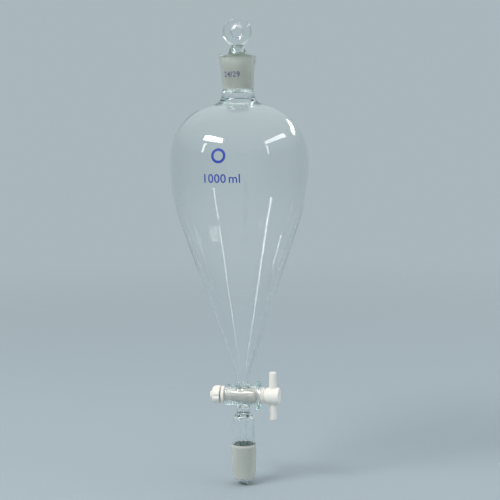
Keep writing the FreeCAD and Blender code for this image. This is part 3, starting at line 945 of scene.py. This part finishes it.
def clear_glass():
    """Borosilicate glass with the faint waviness of blown work."""
    material, tree, shader = new_material(
        "clear_glass", Base_Color=(1, 1, 1, 1), Roughness=0.0, IOR=GLASS_IOR, Transmission_Weight=1.0
    )
    bump(tree, shader, noise(tree, 38, 1.0, (1, 1, 0.35)), 0.3, 0.0004)
    absorb(tree)
    return material


def ground_glass(name, clearness):
    """The frosted grey-white of a ground joint, which lets clearness of the light through."""
    material, tree, shader = new_material(name, IOR=GLASS_IOR, Transmission_Weight=clearness)
    cloud = noise(tree, 240, 4.0, (1, 1, 0.5))
    colour = ramp(tree, cloud, [(0.3, (0.95, 0.935, 0.85)), (0.7, (1.0, 0.985, 0.915))])
    tree.links.new(colour, shader.inputs["Base Color"])
    tree.links.new(to_range(tree, cloud, 0.42, 0.52), shader.inputs["Roughness"])
    bump(tree, shader, noise(tree, 5200, 2.0), 0.35, 0.00005)
    absorb(tree)
    return material


def white_ptfe():
    """Satin, slightly warm PTFE with faint turning marks."""
    material, tree, shader = new_material("ptfe", Subsurface_Weight=0.12, Subsurface_Scale=0.0015)
    shader.inputs["Subsurface Radius"].default_value = (1.0, 0.9, 0.8)
    shader.inputs["Specular IOR Level"].default_value = 0.4
    cloud = noise(tree, 160, 3.0)
    colour = ramp(tree, cloud, [(0.3, (0.935, 0.88, 0.80)), (0.7, (0.97, 0.93, 0.87))])
    tree.links.new(colour, shader.inputs["Base Color"])
    tree.links.new(to_range(tree, cloud, 0.34, 0.46), shader.inputs["Roughness"])
    bump(tree, shader, noise(tree, 900, 2.0, (3.5, 0.4, 0.4)), 0.25, 0.00006)
    return material


def black_rubber():
    """Matt black rubber with a fine bloom."""
    material, tree, shader = new_material("rubber")
    cloud = noise(tree, 1500, 3.0)
    colour = ramp(tree, cloud, [(0.3, (0.012, 0.012, 0.013)), (0.7, (0.035, 0.034, 0.033))])
    tree.links.new(colour, shader.inputs["Base Color"])
    tree.links.new(to_range(tree, cloud, 0.5, 0.68), shader.inputs["Roughness"])
    bump(tree, shader, noise(tree, 6000, 2.0), 0.2, 0.00004)
    return material


def enamel(name, low, high):
    """Fired enamel print, between two colours."""
    material, tree, shader = new_material(name)
    cloud = noise(tree, 1400, 3.0)
    colour = ramp(tree, cloud, [(0.3, low), (0.7, high)])
    tree.links.new(colour, shader.inputs["Base Color"])
    tree.links.new(to_range(tree, cloud, 0.28, 0.4), shader.inputs["Roughness"])
    bump(tree, shader, noise(tree, 5000, 2.0), 0.15, 0.00002)
    return material


# Studio


def make_camera():
    """A camera a little to the handle's side of the front and a little above the middle."""
    azimuth, pitch, pan, roll = (math.radians(a) for a in (VIEW_SIDE, 6.57, 0.39, 0.9))
    distance, height = 1.286, 0.3354
    level = Vector((-math.sin(azimuth - pan), math.cos(azimuth - pan), 0))
    right = Vector((math.cos(azimuth - pan), math.sin(azimuth - pan), 0))
    forward = level * math.cos(pitch) - Vector((0, 0, math.sin(pitch)))
    up = right.cross(forward)
    rolled_up = up * math.cos(roll) + right * math.sin(roll)
    rolled_right = right * math.cos(roll) - up * math.sin(roll)
    turned = Matrix((rolled_right, rolled_up, -forward)).transposed().to_4x4()
    data = bpy.data.cameras.new("camera")
    data.lens = 100
    data.sensor_width = 36
    data.clip_start = 0.05
    camera = bpy.data.objects.new("camera", data)
    place = Vector((math.sin(azimuth) * distance, -math.cos(azimuth) * distance, height))
    camera.matrix_world = Matrix.Translation(place) @ turned
    bpy.context.scene.collection.objects.link(camera)
    bpy.context.scene.camera = camera


def soft_box(name, azimuth, elevation, distance, width, height, power):
    """A soft box that faces the middle of the object. Angles are in degrees, and azimuth 0 is the front."""
    a, e = math.radians(azimuth), math.radians(elevation)
    target = Vector((0, 0, 0.2))
    away = Vector((math.sin(a) * math.cos(e), -math.cos(a) * math.cos(e), math.sin(e)))
    data = bpy.data.lights.new(name, "AREA")
    data.shape = "RECTANGLE"
    data.size = width
    data.size_y = height
    data.energy = power
    light = bpy.data.objects.new(name, data)
    turned = away.to_track_quat("Z", "Y").to_matrix().to_4x4()
    light.matrix_world = Matrix.Translation(target + away * distance) @ turned
    bpy.context.scene.collection.objects.link(light)


def make_floor():
    """A plain pale floor that fades into the surround far from the object."""
    half = 5.0
    gap = 0.0004
    low = CAD_BOX[0][2] - gap
    mesh = bpy.data.meshes.new("floor")
    corners = [(-half, -half, low), (half, -half, low), (half, half, low), (-half, half, low)]
    mesh.from_pydata(corners, [], [(0, 1, 2, 3)])
    floor = bpy.data.objects.new("floor", mesh)
    material, tree, shader = new_material("floor", Base_Color=(0.36, 0.42, 0.45, 1), Roughness=0.95)
    shader.inputs["Specular IOR Level"].default_value = 0.0
    coordinates = tree.nodes.new("ShaderNodeTexCoord")
    length = tree.nodes.new("ShaderNodeVectorMath")
    length.operation = "LENGTH"
    fade = tree.nodes.new("ShaderNodeMapRange")
    fade.interpolation_type = "SMOOTHSTEP"
    fade.inputs["From Min"].default_value = 0.3
    fade.inputs["From Max"].default_value = 1.9
    fade.inputs["To Min"].default_value = 1.0
    fade.inputs["To Max"].default_value = 0.0
    tree.links.new(coordinates.outputs["Object"], length.inputs[0])
    tree.links.new(length.outputs["Value"], fade.inputs["Value"])
    tree.links.new(fade.outputs["Result"], shader.inputs["Alpha"])
    mesh.materials.append(material)
    bpy.context.scene.collection.objects.link(floor)


def make_surround():
    """A pale surround, brighter overhead and a little darker to the sides, so that glass edges show."""
    world = bpy.data.worlds.new("studio")
    world.use_nodes = True
    tree = world.node_tree
    background = tree.nodes["Background"]
    coordinates = tree.nodes.new("ShaderNodeTexCoord")
    sideways = tree.nodes.new("ShaderNodeVectorMath")
    sideways.operation = "DOT_PRODUCT"
    side = math.radians(VIEW_SIDE)
    sideways.inputs[1].default_value = (math.cos(side), math.sin(side), 0)
    tree.links.new(coordinates.outputs["Generated"], sideways.inputs[0])
    square = tree.nodes.new("ShaderNodeMath")
    square.operation = "MULTIPLY"
    tree.links.new(sideways.outputs["Value"], square.inputs[0])
    tree.links.new(sideways.outputs["Value"], square.inputs[1])
    sides = ramp(tree, square.outputs["Value"], [(0.06, (0.40, 0.475, 0.505)), (0.8, (0.25, 0.295, 0.31))])
    split = tree.nodes.new("ShaderNodeSeparateXYZ")
    tree.links.new(coordinates.outputs["Generated"], split.inputs["Vector"])
    overhead = ramp(tree, split.outputs["Z"], [(0.2, (0, 0, 0)), (0.95, (1, 1, 1))])
    mix = tree.nodes.new("ShaderNodeMix")
    mix.data_type = "RGBA"
    mix.inputs["B"].default_value = (0.95, 0.97, 0.98, 1)
    tree.links.new(overhead, mix.inputs["Factor"])
    tree.links.new(sides, mix.inputs["A"])
    tree.links.new(mix.outputs["Result"], background.inputs["Color"])
    bpy.context.scene.world = world


def make_studio():
    """Floor, surround and lights, with enough bounces of light for glass inside glass."""
    make_floor()
    make_surround()
    soft_box("window_left", -41, 43, 1.9, 1.05, 0.3, 19)
    soft_box("strip_left", -52, 25, 1.9, 0.1, 0.5, 1.3)
    soft_box("strip_right", 62, 22, 1.9, 0.08, 0.5, 0.7)
    soft_box("window_right", 88, 37, 1.9, 1.5, 0.2, 5)
    soft_box("back", 150, 26, 2.2, 0.9, 0.22, 3)
    scene = bpy.context.scene
    scene.view_settings.view_transform = "Standard"
    scene.cycles.max_bounces = 48
    scene.cycles.transmission_bounces = 48
    scene.cycles.glossy_bounces = 32
    scene.cycles.diffuse_bounces = 24
    scene.cycles.sample_clamp_indirect = 40


def make_pieces():
    """Every piece of the funnel, and the marks printed on it."""
    clear = clear_glass()
    ground = ground_glass("ground_glass", 0.56)
    bore = ground_glass("ground_bore", 0.32)
    ptfe = white_ptfe()
    ink = enamel("blue_enamel", (0.025, 0.05, 0.34), (0.045, 0.085, 0.46))
    grey_ink = enamel("grey_blue_enamel", (0.06, 0.075, 0.17), (0.085, 0.105, 0.24))
    make_vessel(clear, ground, bore)
    make_stopper(clear, bore)
    make_plug(ptfe)
    make_bar(ptfe)
    make_washer(ptfe)
    make_ring(black_rubber())
    make_nut(ptfe)
    wrap_mark("mark_ring", flat_ring(6.6, 4.3), -4.7, 278.3, ink)
    wrap_mark("mark_volume", flat_text("1000 ml", 7.9), -3, 257.8, ink)
    wrap_mark("mark_joint", flat_text("24/29", 4.9), -10.5, 349.7, grey_ink)


make_camera()
make_studio()
make_pieces()
